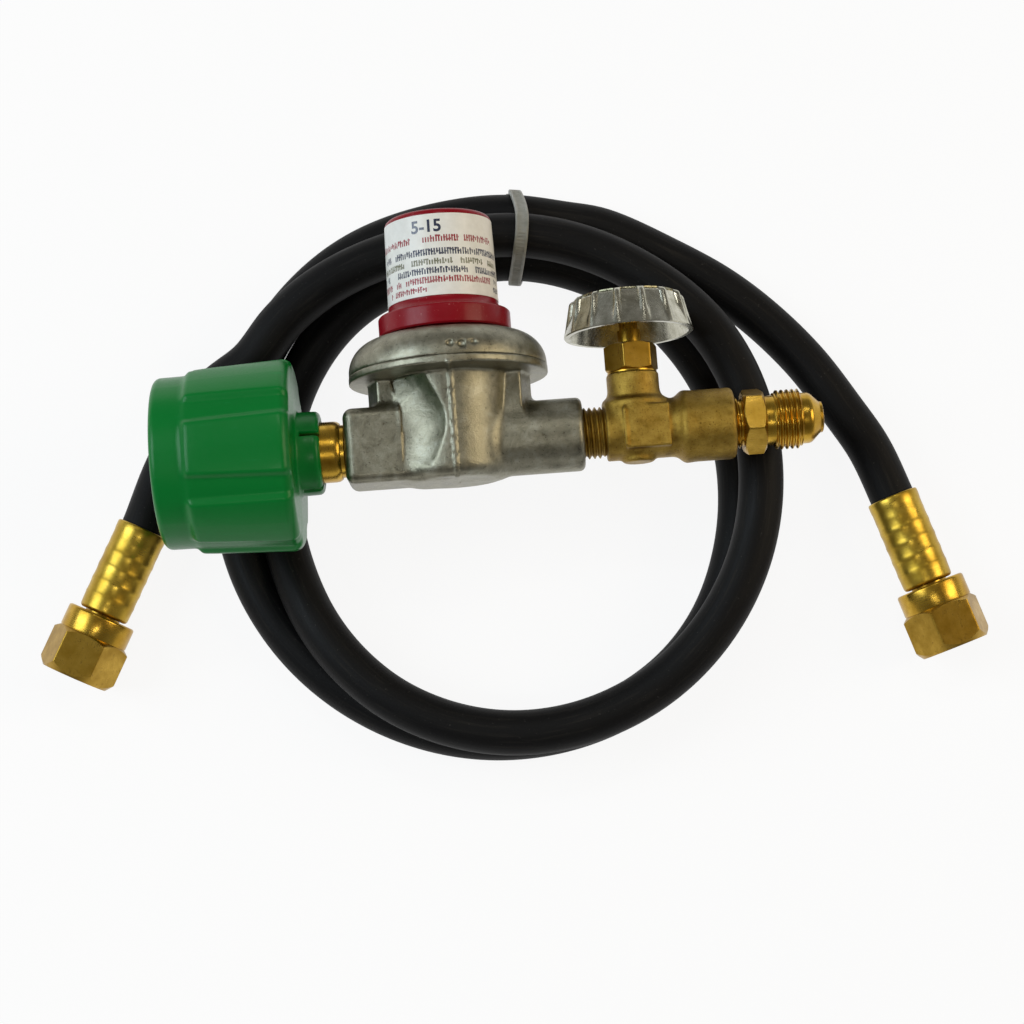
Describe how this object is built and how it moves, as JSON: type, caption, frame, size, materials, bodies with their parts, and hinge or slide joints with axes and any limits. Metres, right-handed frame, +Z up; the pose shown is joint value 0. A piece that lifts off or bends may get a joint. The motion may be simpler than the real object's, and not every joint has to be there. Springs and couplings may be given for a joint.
{
  "type": "propane regulator hose",
  "caption": "Propane tank regulator with hand nut, adjusting cap and needle valve, lying on a coiled, tied rubber hose with a swivel flare nut at each end.",
  "frame": {"origin": "on the floor under the middle of everything but the hose itself", "axes": "+X along the regulator's main axis from the tank nut to the flare outlet, +Y from that axis to the red cap, +Z up from the floor"},
  "size_m": [0.2615, 0.1589, 0.065],
  "materials": {
    "nut_green": "satin",
    "bushing": "matte",
    "brass": "satin",
    "steel": "satin",
    "zinc": "satin",
    "poppet": "satin",
    "diaphragm": "matte",
    "cap_red": "satin",
    "label": "satin",
    "cast_brass": "satin",
    "packing": "matte",
    "wheel": "gloss",
    "hose": "satin",
    "tie": "satin"
  },
  "bodies": {
    "kit": {"thermal_bushing": "bushing", "inlet_nipple": "brass", "flow_check_spring": "steel", "flow_check_clip": "steel", "regulator_body": "zinc", "valve_seat": "brass", "poppet_spring": "steel", "diaphragm": "diaphragm", "main_spring": "steel", "bonnet": "zinc", "valve_body": "cast_brass", "stem_packing": "packing", "packing_nut": "brass", "flare_outlet": "brass", "hose_coil": "hose", "hose_tail_left": "hose", "hose_tail_right": "hose", "hose_end_left": "hose", "hose_end_right": "hose", "ferrule_left": "brass", "ferrule_right": "brass", "hose_stem_left": "brass", "hose_stem_right": "brass", "cable_tie": "tie"},
    "tank_nut": {"inlet_nut": "nut_green"},
    "check_poppet": {"flow_check_poppet": "brass"},
    "regulating_valve": {"regulator_poppet": "poppet", "diaphragm_plate": "steel"},
    "pressing_seat": {"spring_seat": "steel"},
    "cap": {"adjusting_cap": "cap_red", "cap_label": "label"},
    "stem": {"valve_stem": "brass"},
    "wheel": {"handwheel": "wheel", "handwheel_screw": "steel"},
    "swivel_left": {"swivel_nut_left": "brass"},
    "swivel_right": {"swivel_nut_right": "brass"}
  },
  "joints": [
    {"name": "tank_nut_spin", "type": "hinge", "parent": "kit", "child": "tank_nut", "pos_m": [-0.07075, -0.004, 0.0385], "axis": [1, 0, 0], "continuous": true},
    {"name": "flow_check_slide", "type": "slide", "parent": "kit", "child": "check_poppet", "axis": [1, 0, 0], "range_m": [0, 0.002], "stiffness_N_per_m": 20, "springref_m": -0.004, "deforming": ["flow_check_spring"]},
    {"name": "regulating_slide", "type": "slide", "parent": "kit", "child": "regulating_valve", "axis": [0, 1, 0], "range_m": [0, 0.0008], "stiffness_N_per_m": 50, "springref_m": -0.004, "deforming": ["poppet_spring", "diaphragm"]},
    {"name": "seat_rise", "type": "slide", "parent": "kit", "child": "pressing_seat", "axis": [0, 1, 0], "range_m": [0, 0.003], "deforming": ["main_spring"]},
    {"name": "cap_turn", "type": "hinge", "parent": "pressing_seat", "child": "cap", "pos_m": [-0.01325, 0.046, 0.0385], "axis": [0, 1, 0], "range_deg": [0, 720]},
    {"name": "stem_rise", "type": "slide", "parent": "kit", "child": "stem", "axis": [0, 1, 0], "range_m": [0, 0.003]},
    {"name": "handwheel_turn", "type": "hinge", "parent": "stem", "child": "wheel", "pos_m": [0.03555, 0.026, 0.0385], "axis": [0, 1, 0], "range_deg": [0, 1080]},
    {"name": "swivel_left_spin", "type": "hinge", "parent": "kit", "child": "swivel_left", "pos_m": [-0.11963, -0.05253, 0.01105], "axis": [-0.4695, -0.8829, 0], "continuous": true},
    {"name": "swivel_right_spin", "type": "hinge", "parent": "kit", "child": "swivel_right", "pos_m": [0.1185, -0.06155, 0.01105], "axis": [0.3007, -0.9537, 0], "continuous": true}
  ],
  "couplings": [
    {"joint": "seat_rise", "follows": "cap_turn", "m_per_rad": 0.00023873},
    {"joint": "stem_rise", "follows": "handwheel_turn", "m_per_rad": 0.00015915}
  ]
}
